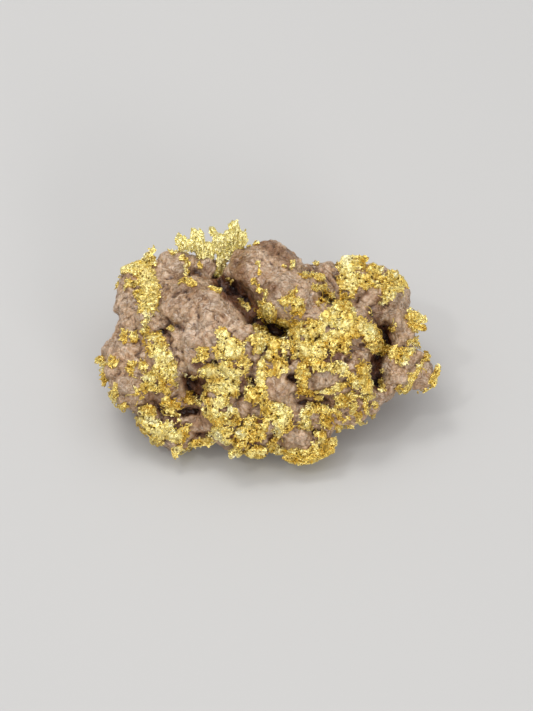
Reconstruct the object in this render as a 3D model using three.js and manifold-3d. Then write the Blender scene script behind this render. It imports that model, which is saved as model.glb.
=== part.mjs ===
// Leaf gold specimen: a loose lump of brown quartz with leaf gold grown over it. Millimetres, +Z up.
// Its origin is on the surface it rests on, under the middle of its box.
import * as THREE from 'three';
import { ConvexGeometry } from 'three/addons/geometries/ConvexGeometry.js';
import { mergeVertices } from 'three/addons/utils/BufferGeometryUtils.js';
import Module from 'manifold-3d';

const wasm = await Module();
wasm.setup();

// Driving dimensions
const DISPLAY_TILT = 54; // degrees above level that the showing side is looked at from
const MID_HEIGHT = 4; // height of the point that the shown positions are measured from
const BASE_CENTRE = new THREE.Vector2(0.14, 0.09); // middle of the box, from where positions start
const BED_GAP = 0.04; // clearance between the gold and the rock it grew on
const CRUST = 0.36; // usual thickness of a gold crust
const CRUMPLE = 0.3; // how far its outer face rises and falls
const CRUST_PITCH = 0.7; // distance between its creases
const TOOTH = 0.14; // how far the teeth of a crust's edge stray from its outline
const TOOTH_PITCH = 0.85;
const CORNER_REACH = 1.09; // distance of a boulder's corners from a ball's centre, as a share of its radius
const CORNER_SHARE = 0.12; // how far the corners stray from that, as a share of the radius
const LEAST_CORNERS = 6; // corners round a ball of no size
const CORNERS_PER_RADIUS = 5; // further corners for each millimetre of its radius
const GOLDEN_ANGLE = Math.PI * (3 - Math.sqrt(5));
const LOOK_ROUND = [0.5, 1, 2, 3]; // how many creases away the rock under a crust is looked for, in turn
const DROOP = 0.8; // how far a crust falls for each millimetre past the edge of the rock
const VIEWER = 20; // distance of a viewer from the middle, clear of the whole specimen
const SEEDS = { hollows: 500, roots: 700, crusts: 900 };

// A view of the specimen: right, up the view, and towards the viewer. The display side is turned by 0.
function view(turn, tilt) {
  const { degToRad } = THREE.MathUtils;
  const rotation = new THREE.Euler(degToRad(90 - tilt), 0, degToRad(turn), 'ZYX');
  return new THREE.Matrix4().makeRotationFromEuler(rotation).setPosition(0, 0, MID_HEIGHT);
}

// Repeatable random numbers from 0 to 1
function randomFrom(seed) {
  let state = seed * 7919 + 17;
  return () => {
    state = (state * 1664525 + 1013904223) % 4294967296;
    return state / 4294967296;
  };
}

// Solids from geometry, and back
function solidOf(geometry) {
  const bare = geometry.clone();
  bare.deleteAttribute('normal');
  bare.deleteAttribute('uv');
  const merged = mergeVertices(bare, 1e-4);
  return new wasm.Manifold(new wasm.Mesh({
    numProp: 3,
    vertProperties: merged.attributes.position.array,
    triVerts: new Uint32Array(merged.index.array),
  }));
}

function geometryOf(solid) {
  const mesh = solid.getMesh();
  const positions = new Float32Array(mesh.numVert * 3);
  for (let i = 0; i < mesh.numVert; i++) {
    positions.set(mesh.vertProperties.subarray(i * mesh.numProp, i * mesh.numProp + 3), i * 3);
  }
  const geometry = new THREE.BufferGeometry();
  geometry.setAttribute('position', new THREE.BufferAttribute(positions, 3));
  geometry.setIndex(new THREE.BufferAttribute(mesh.triVerts, 1));
  return geometry;
}

function join(solids) {
  return wasm.Manifold.union(solids);
}

function largestBody(solid) {
  return solid.decompose().sort((a, b) => b.volume() - a.volume())[0];
}

// A boulder of quartz is one angular form round a few balls.
// A ball is given by where its centre shows on the display side and how high it is, or by its centre.
const SIN = Math.sin(THREE.MathUtils.degToRad(DISPLAY_TILT));
const COS = Math.cos(THREE.MathUtils.degToRad(DISPLAY_TILT));
function shown(right, up, height, radius) {
  const depth = (up - COS * (height - MID_HEIGHT)) / SIN;
  return { centre: new THREE.Vector3(right, depth, height), radius };
}

function hidden(x, y, z, radius) {
  return { centre: new THREE.Vector3(x, y, z), radius };
}

const BOULDERS = [
  // heart of the rock, inside the rest
  [hidden(-4.6, 0.6, 3.0, 2.0), hidden(-0.6, 0.8, 3.1, 2.2)],
  [hidden(0.6, 0.4, 3.0, 2.2), hidden(4.0, 0.4, 2.9, 1.9)],
  [shown(-3.4, -2.4, 2.6, 1.6), shown(0.4, -2.5, 2.5, 1.6)],
  [hidden(5.4, -0.2, 2.7, 1.4), hidden(4.4, 1.0, 2.8, 1.5)],
  [shown(-5.7, -3.0, 2.0, 1.4)],
  // top block
  [shown(-0.9, 3.4, 5.5, 1.4), shown(0.2, 3.9, 5.5, 1.4),
    shown(0.9, 3.0, 5.9, 1.2), shown(-0.4, 2.5, 5.7, 1.1)],
  [shown(0.4, 2.1, 6.2, 0.95), shown(1.7, 2.1, 6.1, 0.95), shown(1.1, 2.9, 6.0, 1.0)],
  [shown(2.2, 2.7, 5.4, 0.9)],
  // long ridge beside the cleft
  [shown(-4.6, 2.2, 5.2, 1.25), shown(-3.4, 2.4, 5.4, 1.1), shown(-4.0, 1.6, 5.5, 1.2)],
  [shown(-3.4, 1.5, 5.6, 1.25), shown(-2.1, 1.2, 5.6, 1.25), shown(-1.3, 0.5, 5.3, 1.15)],
  [shown(-4.0, 0.3, 5.0, 1.2), shown(-3.5, -0.8, 4.6, 1.0), shown(-2.6, 0.2, 5.2, 1.1)],
  [shown(-2.3, -0.3, 5.1, 1.15), shown(-1.3, -0.4, 5.0, 1.1), shown(-2.0, -1.5, 4.2, 1.1)],
  // top left
  [shown(-5.3, 3.8, 5.1, 0.95), shown(-5.0, 3.2, 5.2, 0.9)],
  [shown(-4.2, 3.8, 5.0, 0.85), shown(-3.4, 3.6, 4.6, 0.85)],
  [shown(-7.3, 3.1, 4.4, 0.85), shown(-6.3, 3.4, 4.8, 0.95)],
  [shown(-5.9, 2.6, 4.9, 0.9)],
  // left column
  [shown(-7.3, 2.1, 4.3, 0.9), shown(-6.7, 1.9, 4.5, 0.8)],
  [shown(-7.2, 1.0, 4.1, 0.85), shown(-6.6, 0.4, 4.0, 0.95)],
  [shown(-6.2, 1.2, 4.6, 1.0), shown(-5.4, 0.9, 4.6, 0.9)],
  // lower left
  [shown(-7.3, -0.7, 3.7, 1.05), shown(-7.4, -1.8, 3.2, 1.15), shown(-7.1, -2.7, 2.8, 1.0)],
  [shown(-8.3, -0.95, 3.1, 0.65), shown(-7.8, -0.4, 3.4, 0.7)],
  [shown(-5.9, -0.3, 4.3, 0.9), shown(-5.7, -1.2, 4.0, 0.85), shown(-5.4, -1.8, 3.6, 0.7)],
  // front left foot and the ledge in the hollow above it
  [shown(-4.8, -4.8, 1.2, 1.05), shown(-5.9, -4.1, 1.8, 0.9)],
  [shown(-3.6, -4.6, 1.6, 0.8)],
  [shown(-4.3, -3.6, 2.3, 0.7)],
  // front centre
  [shown(-2.5, -2.7, 3.3, 1.2), shown(-2.3, -3.6, 2.7, 1.1)],
  [shown(-1.0, -1.9, 4.1, 1.0), shown(-0.9, -2.8, 3.5, 1.0)],
  [shown(-1.9, -4.5, 1.9, 1.05), shown(-0.6, -4.6, 1.8, 1.05), shown(-1.2, -5.0, 1.2, 0.95)],
  [shown(0.3, -3.8, 2.7, 1.05)],
  [shown(0.6, -2.3, 4.1, 0.8), shown(0.9, -1.3, 4.0, 0.9)],
  // front right foot
  [shown(1.5, -4.9, 1.5, 1.0), shown(2.6, -4.6, 1.5, 0.85), shown(2.0, -5.2, 1.1, 0.95)],
  [shown(1.9, -3.7, 2.5, 0.95)],
  // right body
  [shown(2.4, 0.4, 5.1, 1.15), shown(3.8, 0.6, 5.1, 1.25), shown(5.0, 0.1, 4.5, 1.1)],
  [shown(2.6, -1.1, 4.5, 1.2), shown(4.2, -1.2, 4.2, 1.2)],
  [shown(2.4, -2.1, 3.9, 0.8), shown(3.6, -2.1, 3.8, 0.8)],
  [shown(4.8, -2.1, 3.4, 0.95)],
  // right shelf
  [shown(3.6, -3.3, 2.7, 0.9), shown(4.5, -3.4, 2.6, 0.9)],
  [shown(5.3, -3.0, 2.6, 0.8)],
  // right top
  [shown(5.3, 2.2, 4.8, 1.1), shown(6.7, 2.2, 4.5, 0.95)],
  [shown(4.6, 3.2, 4.8, 1.1), shown(6.2, 3.0, 4.6, 0.9)],
  [shown(2.9, 3.4, 4.9, 0.9), shown(3.0, 2.4, 4.6, 0.9)],
  // right tip
  [shown(7.1, 0.6, 4.0, 0.85), shown(6.8, 1.2, 4.2, 0.85)],
  [shown(6.7, -0.6, 3.1, 1.0), shown(5.9, -0.9, 3.0, 0.9)],
  [shown(6.8, -1.7, 3.1, 0.85)],
  [shown(7.6, -1.0, 3.3, 0.8)],
  [shown(8.1, -1.3, 2.9, 0.7), shown(8.0, -1.9, 2.8, 0.6)],
  [shown(6.0, -2.5, 2.4, 0.7)],
  // back
  [hidden(-5.6, 3.2, 2.6, 1.3), hidden(-4.4, 3.5, 2.2, 1.2)],
  [hidden(-2.4, 3.7, 2.7, 1.5), hidden(-1.2, 3.5, 2.1, 1.4)],
  [hidden(1.0, 3.8, 3.2, 1.5)],
  [hidden(3.6, 3.4, 2.5, 1.4), hidden(5.0, 2.9, 2.4, 1.2)],
  [hidden(6.4, 1.9, 2.9, 1.1)],
  [hidden(-7.0, 1.8, 2.9, 1.1)],
  // underside
  [hidden(-5.6, 1.2, 1.2, 1.3), hidden(-3.4, 1.6, 1.1, 1.4)],
  [hidden(-1.0, 2.5, 1.1, 1.4), hidden(1.2, 2.2, 1.2, 1.5)],
  [hidden(3.2, 1.6, 1.1, 1.5), hidden(4.6, 0.8, 1.3, 1.2)],
  [hidden(-3.2, -1.4, 1.1, 1.4), hidden(-1.2, -1.6, 1.2, 1.4)],
  [hidden(1.2, -1.8, 1.1, 1.5), hidden(3.0, -0.8, 1.2, 1.4)],
  [hidden(-6.6, -0.2, 1.8, 1.2)],
];

// Deep hollows between the boulders
const HOLLOWS = [
  // the cleft between the top block and the long ridge
  [shown(-2.8, 3.5, 6.3, 0.3), shown(-2.8, 3.5, 4.9, 0.3),
    shown(0.3, 0.8, 6.1, 0.45), shown(0.3, 0.8, 4.4, 0.4)],
  // the others
  [shown(-4.35, -2.6, 4.2, 0.75), shown(-4.2, -2.8, 3.6, 0.6)],
  [shown(0.6, 0.65, 6.0, 0.55), shown(0.6, 0.65, 4.2, 0.4)],
  [shown(6.25, -0.1, 4.8, 0.45), shown(5.8, -1.4, 4.0, 0.4)],
];

// Gold crusts: where each shows in a view of the specimen, in millimetres right and up, and how far
// behind the middle it reaches
const CRUSTS = [
  {
    name: 'gold_shoulder_crust', turn: 0, tilt: DISPLAY_TILT, behind: -3,
    outline: [[-8.4, 3.4], [-8.2, 4.1], [-7.7, 4.5], [-7.0, 4.2], [-6.3, 4.3], [-5.9, 3.7], [-5.7, 2.6],
      [-5.9, 1.7], [-6.4, 1.3], [-6.8, 1.6], [-6.7, 2.6], [-6.9, 3.0], [-7.7, 3.1]],
  },
  {
    name: 'gold_left_blade', turn: 0, tilt: DISPLAY_TILT, behind: -1,
    outline: [[-6.8, 0.2], [-6.2, 0.5], [-5.4, 0.3], [-5.1, -0.5], [-4.7, -1.6], [-4.9, -2.3], [-5.4, -1.6],
      [-6.2, -1.9], [-6.6, -2.4], [-7.0, -3.0], [-7.3, -2.6], [-6.8, -1.8], [-6.3, -1.0], [-6.6, -0.3]],
  },
  {
    name: 'gold_left_patch', turn: 0, tilt: DISPLAY_TILT, behind: -1,
    outline: [[-8.0, 0.6], [-7.5, 0.7], [-7.3, 0.2], [-7.5, -0.3], [-8.0, -0.2]],
  },
  {
    name: 'gold_left_border', turn: 0, tilt: DISPLAY_TILT, behind: -1.5,
    outline: [[-8.5, -3.6], [-7.9, -3.4], [-7.3, -3.7], [-6.7, -3.6], [-6.2, -3.4], [-5.4, -3.7],
      [-4.5, -4.0], [-4.2, -4.3], [-4.5, -5.1], [-5.3, -5.3], [-6.2, -5.0], [-6.9, -4.6], [-7.6, -4.3],
      [-8.0, -4.0]],
  },
  {
    name: 'gold_centre_drape', turn: 0, tilt: DISPLAY_TILT, behind: -1,
    outline: [[-2.5, 0.8], [-1.8, 0.2], [-1.2, 0.3], [-0.8, 0.1], [-0.1, 0.6], [-0.1, -0.1], [-0.7, -0.8],
      [-0.2, -1.6], [-0.1, -2.3], [-0.2, -2.9], [0.8, -2.9], [1.4, -3.4], [1.3, -4.3], [0.5, -5.1],
      [0.3, -5.8], [-0.3, -6.2], [-1.4, -5.8], [-1.9, -6.2], [-1.8, -5.5], [-2.9, -5.1], [-3.4, -3.7],
      [-3.3, -2.2], [-4.1, -1.1], [-3.7, -0.3], [-2.9, 0.0]],
  },
  {
    name: 'gold_right_mantle', turn: 0, tilt: DISPLAY_TILT, behind: -1,
    outline: [[1.1, 0.7], [1.9, 1.3], [2.8, 1.2], [3.4, 1.7], [4.4, 1.7], [5.3, 0.9], [6.0, 0.3], [5.9, -0.4],
      [5.0, -0.9], [4.2, -0.8], [4.0, -1.3], [5.0, -1.6], [5.2, -2.2], [4.4, -2.9], [3.3, -2.8], [1.9, -3.0],
      [1.2, -2.4], [1.7, -1.8], [1.3, -0.9], [0.4, -1.3], [0.1, -0.8], [0.3, 0.0]],
  },
  {
    name: 'gold_right_crest', turn: 0, tilt: DISPLAY_TILT, behind: -2.5,
    outline: [[3.6, 4.3], [4.6, 4.6], [5.4, 4.2], [6.7, 3.7], [7.2, 2.9], [6.6, 2.4], [6.2, 2.9], [5.6, 3.0],
      [4.7, 2.3], [4.1, 2.1], [3.6, 2.3], [3.5, 3.1]],
  },
  {
    name: 'gold_tip_rim', turn: 0, tilt: DISPLAY_TILT, behind: -2,
    outline: [[7.4, 1.5], [8.0, 1.5], [8.4, 1.0], [8.1, 0.5], [8.6, -0.2], [9.1, -0.7], [8.9, -1.1],
      [8.1, -0.4], [7.6, -0.3], [7.2, -1.3], [6.8, -1.5], [6.3, -1.0], [7.0, -0.5], [7.5, 0.3], [7.6, 0.8]],
  },
  {
    name: 'gold_foot_lace', turn: 0, tilt: DISPLAY_TILT, behind: -1.5,
    outline: [[0.7, -5.9], [1.0, -5.5], [1.8, -5.6], [2.2, -5.2], [2.0, -4.3], [1.6, -3.6], [2.0, -3.3],
      [3.2, -3.3], [3.2, -3.8], [3.5, -4.7], [3.5, -5.4], [2.8, -6.3], [1.7, -6.5], [0.8, -6.2]],
  },
  {
    name: 'gold_shelf_lace', turn: 0, tilt: DISPLAY_TILT, behind: -1,
    outline: [[3.6, -3.4], [4.3, -3.6], [5.2, -4.0], [5.7, -3.5], [5.4, -4.3], [4.4, -4.6], [3.7, -4.5]],
  },
  {
    name: 'gold_cleft_flake', turn: 0, tilt: DISPLAY_TILT, behind: -0.5,
    outline: [[-0.4, 1.6], [0.1, 2.0], [0.6, 1.8], [0.9, 2.4], [1.5, 2.7], [1.8, 2.1], [1.6, 1.6], [1.0, 1.7],
      [0.6, 1.1], [-0.1, 1.3]],
  },
  {
    name: 'gold_back_crust', turn: 180, tilt: 15, behind: 2,
    outline: [[-3.6, -1.6], [-2.4, -0.6], [-1.0, -1.0], [0.4, -0.4], [1.6, -1.2], [2.2, -2.4], [1.2, -3.0],
      [0.2, -2.4], [-1.2, -2.8], [-2.6, -2.4]],
  },
  {
    name: 'gold_back_ledge', turn: 155, tilt: 15, behind: 1,
    outline: [[4.0, -1.8], [5.0, -1.2], [6.2, -1.5], [6.6, -2.4], [5.4, -2.8], [4.6, -2.6]],
  },
  {
    name: 'gold_end_crust', turn: 240, tilt: 15, behind: 3,
    outline: [[-1.8, -2.0], [-0.8, -1.5], [0.2, -2.0], [1.0, -1.8], [1.4, -2.7], [-0.7, -3.0]],
  },
];

// Sprays of leaf gold that stand up behind the rock: each is a toothed sheet with smaller blades on it.
// A blade is where its root shows, where its tip shows and its width.
// The lean says how far a sheet comes towards the viewer for each millimetre up.
const SPRAYS = [
  {
    name: 'gold_small_spray', root: shown(-3.3, 3.9, 5.0, 0.45), depth: -1.7, lean: 0.6,
    sheet: [[-3.0, 4.0], [-3.4, 3.9], [-3.7, 4.2], [-4.1, 4.3], [-4.7, 4.7], [-4.4, 5.0], [-4.8, 5.4],
      [-4.4, 5.5], [-4.5, 5.9], [-4.0, 5.8], [-3.7, 6.1], [-3.5, 5.7], [-3.3, 5.5], [-3.4, 5.0], [-3.1, 4.7]],
    blades: [[-3.4, 4.1, -4.2, 5.6, 0.6], [-3.2, 4.0, -3.6, 5.6, 0.4]],
  },
  {
    name: 'gold_tall_spray', root: shown(-2.0, 4.0, 5.0, 0.5), depth: -1.5, lean: 0.72,
    sheet: [[-2.4, 3.8], [-2.7, 4.3], [-2.6, 4.6], [-2.9, 4.9], [-2.8, 5.2], [-3.1, 5.6], [-2.8, 5.7],
      [-2.9, 6.1], [-2.5, 6.1], [-2.2, 6.5], [-1.9, 6.2], [-1.6, 6.5], [-1.4, 6.0], [-1.1, 5.8], [-1.4, 5.5],
      [-1.2, 5.1], [-1.5, 4.9], [-1.5, 4.4], [-1.8, 4.0]],
    blades: [[-2.2, 4.1, -2.6, 5.9, 0.5], [-2.0, 4.2, -1.6, 5.9, 0.55], [-2.1, 4.0, -2.1, 6.2, 0.5]],
  },
];
const LEAN_FROM = 4; // how far up the view a spray's lean starts
const SHEET_THICKNESS = 0.3;
const BLADE_THICKNESS = 0.55;
const BLADE_STEP = 0.1; // how much nearer the viewer each blade is than the last
const BLADE_EDGE = [[0, 0.3], [0.35, 0.7], [0.4, 1], [0.65, 0.6], [0.7, 0.8]]; // shares of length and width

// The angular form round some balls, grown outwards by extra
function boulder(balls, seed, extra = 0) {
  const random = randomFrom(seed);
  const corners = balls.flatMap(({ centre, radius }) => {
    const count = Math.round(LEAST_CORNERS + CORNERS_PER_RADIUS * radius);
    const turn = random() * Math.PI * 2;
    return Array.from({ length: count }, (_, i) => {
      const z = 1 - (2 * i + 1) / count;
      const ring = Math.sqrt(1 - z * z);
      const angle = turn + i * GOLDEN_ANGLE;
      const reach = radius * (CORNER_REACH + CORNER_SHARE * (2 * random() - 1)) + extra;
      return new THREE.Vector3(ring * Math.cos(angle), ring * Math.sin(angle), z)
        .multiplyScalar(reach).add(centre);
    });
  });
  return solidOf(new ConvexGeometry(corners));
}

function rockGrownBy(extra) {
  return join(BOULDERS.map((balls, i) => boulder(balls, i, extra)));
}

// An outline with a ragged edge
function ragged(outline, random) {
  return outline.flatMap((corner, i) => {
    const from = new THREE.Vector2(...corner);
    const to = new THREE.Vector2(...outline[(i + 1) % outline.length]);
    const steps = Math.max(1, Math.round(from.distanceTo(to) / TOOTH_PITCH));
    return Array.from({ length: steps }, (_, k) => {
      const shift = new THREE.Vector2(2 * random() - 1, 2 * random() - 1).multiplyScalar(TOOTH);
      return from.clone().lerp(to, k / steps).add(shift);
    });
  });
}

// A prism of an outline, from one distance towards the viewer to another
function prism(outline, near, far, lean = 0) {
  const geometry = new THREE.ExtrudeGeometry(new THREE.Shape(outline), {
    depth: far - near,
    bevelEnabled: false,
  });
  geometry.translate(0, 0, near - lean * LEAN_FROM);
  return geometry.applyMatrix4(new THREE.Matrix4().makeShear(0, 0, 0, lean, 0, 0));
}

const bareRock = rockGrownBy(0);
const beddingRock = rockGrownBy(BED_GAP);
const belowRest = new THREE.BoxGeometry(2 * VIEWER, 2 * VIEWER, VIEWER).translate(0, 0, -VIEWER / 2);
const restingSurface = solidOf(belowRest);
const rockFace = new THREE.Mesh(geometryOf(bareRock));

// How far towards the viewer the rock's face is, right and up a view
const knownFaces = new Map();
function faceOfRock(right, up, facing) {
  const key = [right, up, ...facing.elements].map((value) => value.toFixed(3)).join();
  if (!knownFaces.has(key)) {
    const away = new THREE.Vector3(0, 0, -1).transformDirection(facing);
    const eye = new THREE.Vector3(right, up, VIEWER).applyMatrix4(facing);
    const [hit] = new THREE.Raycaster(eye, away).intersectObject(rockFace);
    knownFaces.set(key, hit ? VIEWER - hit.distance : -Infinity);
  }
  return knownFaces.get(key);
}

// The highest that the face is near there. Past the edge of the rock it droops.
function summit(right, up, facing) {
  for (const reach of LOOK_ROUND) {
    const steps = [-1, 0, 1].map((step) => step * reach * CRUST_PITCH);
    const heights = steps.flatMap((x) => steps.map((y) => faceOfRock(right + x, up + y, facing)));
    if (Math.max(...heights) > -Infinity) {
      return Math.max(...heights) - DROOP * (reach - LOOK_ROUND[0]) * CRUST_PITCH;
    }
  }
  return 0;
}

// Between -1 and 1, and unlike from one place to the next: the multipliers only scatter the values
function crease(x, y) {
  const wave = 1000 * Math.sin(127.1 * x + 311.7 * y);
  return 2 * (wave - Math.floor(wave)) - 1;
}

// A creased slab that lies on the rock under the box of an outline
function slabOver(outline, facing) {
  const box = new THREE.Box2().setFromPoints(outline);
  const steps = box.getSize(new THREE.Vector2()).divideScalar(CRUST_PITCH).ceil();
  const size = steps.clone().multiplyScalar(CRUST_PITCH);
  const slab = new THREE.BoxGeometry(size.x, size.y, 1, steps.x, steps.y, 1);
  slab.translate(box.min.x + size.x / 2, box.min.y + size.y / 2, 0);
  const { position } = slab.attributes;
  for (let i = 0; i < position.count; i++) {
    const [x, y] = [position.getX(i), position.getY(i)];
    const thickness = position.getZ(i) > 0 ? CRUST + CRUMPLE * crease(x, y) : 0;
    position.setZ(i, summit(x, y, facing) + BED_GAP + thickness);
  }
  return solidOf(slab.applyMatrix4(facing));
}

function crust({ turn, tilt, behind, outline }, seed) {
  const facing = view(turn, tilt);
  const edge = ragged(outline, randomFrom(seed));
  const reach = solidOf(prism(edge, behind, VIEWER).applyMatrix4(facing));
  const skin = slabOver(edge, facing).intersect(reach);
  return largestBody(skin.subtract(beddingRock).subtract(restingSurface));
}

// A toothed blade from its root to its tip
function bladeOutline(fromRight, fromUp, toRight, toUp, width) {
  const root = new THREE.Vector2(fromRight, fromUp);
  const along = new THREE.Vector2(toRight, toUp).sub(root);
  const across = new THREE.Vector2(-along.y, along.x).normalize().multiplyScalar(width);
  const place = ([t, w]) => root.clone().addScaledVector(along, t).addScaledVector(across, w / 2);
  const mirrored = BLADE_EDGE.map(([t, w]) => [t, -w]).reverse();
  return [...BLADE_EDGE.map(place), place([1, 0]), ...mirrored.map(place)];
}

function spray({ root, depth, lean, sheet, blades }) {
  const facing = view(0, DISPLAY_TILT);
  const outline = sheet.map((corner) => new THREE.Vector2(...corner));
  const solids = [solidOf(prism(outline, depth, depth + SHEET_THICKNESS, lean).applyMatrix4(facing))];
  blades.forEach((blade, i) => {
    const near = depth + BLADE_STEP * (i + 1);
    const body = prism(bladeOutline(...blade), near, near + BLADE_THICKNESS, lean);
    solids.push(solidOf(body.applyMatrix4(facing)));
  });
  solids.push(boulder([root], SEEDS.roots));
  return largestBody(join(solids).subtract(beddingRock));
}

// Assembly
const quartz = new THREE.MeshStandardMaterial({ color: 0x9c8177, roughness: 0.55, metalness: 0 });
const gold = new THREE.MeshStandardMaterial({ color: 0xe6c850, roughness: 0.3, metalness: 1 });
const specimen = new THREE.Group();
specimen.position.set(-BASE_CENTRE.x, -BASE_CENTRE.y, 0);
function addPiece(name, solid, material) {
  const mesh = new THREE.Mesh(geometryOf(solid), material);
  mesh.name = name;
  specimen.add(mesh);
}

const hollows = join(HOLLOWS.map((balls, i) => boulder(balls, SEEDS.hollows + i)));
const rock = bareRock.subtract(hollows).subtract(restingSurface);
addPiece('quartz_matrix', largestBody(rock), quartz);
CRUSTS.forEach((spec, i) => addPiece(spec.name, crust(spec, SEEDS.crusts + i), gold));
SPRAYS.forEach((spec) => addPiece(spec.name, spray(spec), gold));

export default specimen;
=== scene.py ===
# Leaf gold specimen: brown quartz with crumpled leaf gold over it, around the fixed CAD frame.
# The meshes are worked out in millimetres and written in metres.
import math

import bpy
import numpy as np
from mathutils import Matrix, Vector
from mathutils.bvhtree import BVHTree
from mathutils.kdtree import KDTree


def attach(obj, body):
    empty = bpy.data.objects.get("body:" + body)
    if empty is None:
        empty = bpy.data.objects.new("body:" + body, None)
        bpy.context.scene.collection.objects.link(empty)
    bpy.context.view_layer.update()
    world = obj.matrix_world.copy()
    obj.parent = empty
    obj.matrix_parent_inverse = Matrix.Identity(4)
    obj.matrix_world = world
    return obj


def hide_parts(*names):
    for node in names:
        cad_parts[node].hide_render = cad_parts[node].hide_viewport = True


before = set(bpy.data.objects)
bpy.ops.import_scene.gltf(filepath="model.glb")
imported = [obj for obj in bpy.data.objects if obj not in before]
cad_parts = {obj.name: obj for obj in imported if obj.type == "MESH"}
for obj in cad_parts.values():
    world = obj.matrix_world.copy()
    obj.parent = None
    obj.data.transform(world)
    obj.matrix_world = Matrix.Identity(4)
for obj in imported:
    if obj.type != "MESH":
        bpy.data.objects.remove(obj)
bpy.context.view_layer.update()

MM = 0.001
TINY = 1e-12  # stands in for a length of nothing in a division
WHITE = (255, 255, 255)

# The display view, as in the part: right, up the view and towards the viewer, from a point inside the rock
DISPLAY_TILT = math.radians(54)
MID = np.array([-0.14, -0.09, 4.0])
RIGHT = np.array([1.0, 0.0, 0.0])
UP = np.array([0.0, math.sin(DISPLAY_TILT), math.cos(DISPLAY_TILT)])
TOWARDS = np.array([0.0, -math.cos(DISPLAY_TILT), math.sin(DISPLAY_TILT)])

# Places in the display view are given in the picture's pixels, from its top left corner
PICTURE_SIZE = np.array([533, 711])
PICTURE_MIDDLE = PICTURE_SIZE / 2
MID_SEEN_AT = np.array([268.5, 342.5])
PIXEL = 0.053  # millimetres to a pixel, at the specimen's middle
PIXEL_STEPS = PIXEL * np.array([RIGHT, -UP])  # a pixel across and a pixel down
AIM = MID + (PICTURE_MIDDLE - MID_SEEN_AT) @ PIXEL_STEPS
CAMERA_DISTANCE = 150.0
CAMERA = AIM + CAMERA_DISTANCE * TOWARDS


# The picture and its strokes

def in_picture(points):
    """Where points are seen in the display view, in pixels."""
    away = points - AIM
    scale = CAMERA_DISTANCE / (CAMERA_DISTANCE - away @ TOWARDS) / PIXEL
    return PICTURE_MIDDLE + np.stack([away @ RIGHT * scale, -(away @ UP) * scale], axis=1)


def ways_through(places):
    """The directions from the camera through places in the picture."""
    return AIM + (places - PICTURE_MIDDLE) @ PIXEL_STEPS - CAMERA


def from_strokes(places, strokes):
    """How many pixels inside the strokes places are, and less than nothing outside them. A stroke is its half
    width, then how far across and down each place along its middle is."""
    inside = np.full(len(places), -np.inf)
    for half_width, *middle in strokes:
        line = np.reshape(middle, (-1, 2))
        ends = line if len(line) > 1 else np.repeat(line, 2, axis=0)
        for start, end in zip(ends, ends[1:]):
            along = end - start
            share = np.clip((places - start) @ along / max(along @ along, TINY), 0, 1)
            away = np.linalg.norm(places - start - share[:, None] * along, axis=1)
            inside = np.maximum(inside, half_width - away)
    return inside


def eased(share):
    share = np.clip(share, 0, 1)
    return share * share * (3 - 2 * share)


def coverage(places, strokes, softness, at_edge=0.5):
    """How much strokes cover places, from 0 to 1, fading at their edge."""
    return eased(from_strokes(places, strokes) / softness + at_edge)


# Rows of vectors

def unit(vectors):
    return vectors / np.maximum(np.linalg.norm(vectors, axis=1), TINY)[:, None]


def dots(first, second):
    return np.einsum("ij,ij->i", first, second)


def laid_flat(ways, normals):
    """Directions turned to lie at right angles to the normals."""
    return unit(ways - dots(ways, normals)[:, None] * normals)


# Noise, worked out for a whole array of points at once

CELL_PRIMES = (73856093, 19349663, 83492791)
SEED_PRIME = 2654435761
MIXER = 0x45D9F3B
WORD = 0xFFFFFFFF  # the largest number of 32 bits
LAYERED_SUM = 1.6  # what brings a sum of layers back to about 1
RIDGED_SUM = 1.9
BALL_SHARE = 0.25  # how round the crystals are, from flat-sided at 0


def scrambled(cells, seed):
    """A repeatable number from 0 to 1 for each whole-numbered cell."""
    keys = cells.astype(np.int64)
    mixed = seed * SEED_PRIME
    for axis, prime in enumerate(CELL_PRIMES):
        mixed = mixed ^ (keys[..., axis] * prime)
    mixed = mixed & WORD
    for _ in range(2):
        mixed = ((mixed ^ (mixed >> 16)) * MIXER) & WORD
    return (mixed ^ (mixed >> 16)) / WORD


def scrambled_vectors(cells, seed):
    return np.stack([scrambled(cells, seed + axis) for axis in range(3)], axis=1)


def smooth_noise(points, size, seed):
    """Value noise from -1 to 1, with features of the given size."""
    scaled = points / size
    low = np.floor(scaled)
    part = eased(scaled - low)
    total = np.zeros(len(points))
    for corner in np.ndindex(2, 2, 2):
        weight = np.prod(np.where(corner, part, 1 - part), axis=1)
        total += weight * scrambled(low + corner, seed)
    return 2 * total - 1


def wandering(points, size, seed, ways=3):
    """A smoothly changing shift for each point, up to 1 each way."""
    return np.stack([smooth_noise(points, size, seed + k) for k in range(ways)], axis=1)


def layered_noise(points, size, seed, layers=3):
    return sum(smooth_noise(points, size / 2 ** k, seed + k) / 2 ** k for k in range(layers)) / LAYERED_SUM


def ridged_noise(points, size, seed, layers=3):
    """From 0 in the hollows to 1 on sharp ridges."""
    return sum(
        (1 - np.abs(smooth_noise(points, size / 1.8 ** k, seed + k))) ** 2 / 1.7 ** k for k in range(layers)
    ) / RIDGED_SUM


def crystal_cells(points, size, seed):
    """Flat-sided crystals packed together: how far each point is from its crystal's middle, as a share of the
    size, and a number of the crystal's own from 0 to 1."""
    scaled = points / size
    base = np.floor(scaled)
    nearest = np.full(len(points), np.inf)
    own = np.zeros(len(points))
    for step in np.ndindex(3, 3, 3):
        cell = base + np.array(step) - 1
        away = scaled - cell - scrambled_vectors(cell, seed)
        distance = BALL_SHARE * np.linalg.norm(away, axis=1)
        for face in range(3):
            way = unit(scrambled_vectors(cell, seed + 10 + 3 * face) - 0.5)
            distance = np.maximum(distance, np.abs(dots(away, way)))
        closer = distance < nearest
        nearest = np.where(closer, distance, nearest)
        own[closer] = scrambled(cell, seed + 40)[closer]
    return nearest, own


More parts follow.
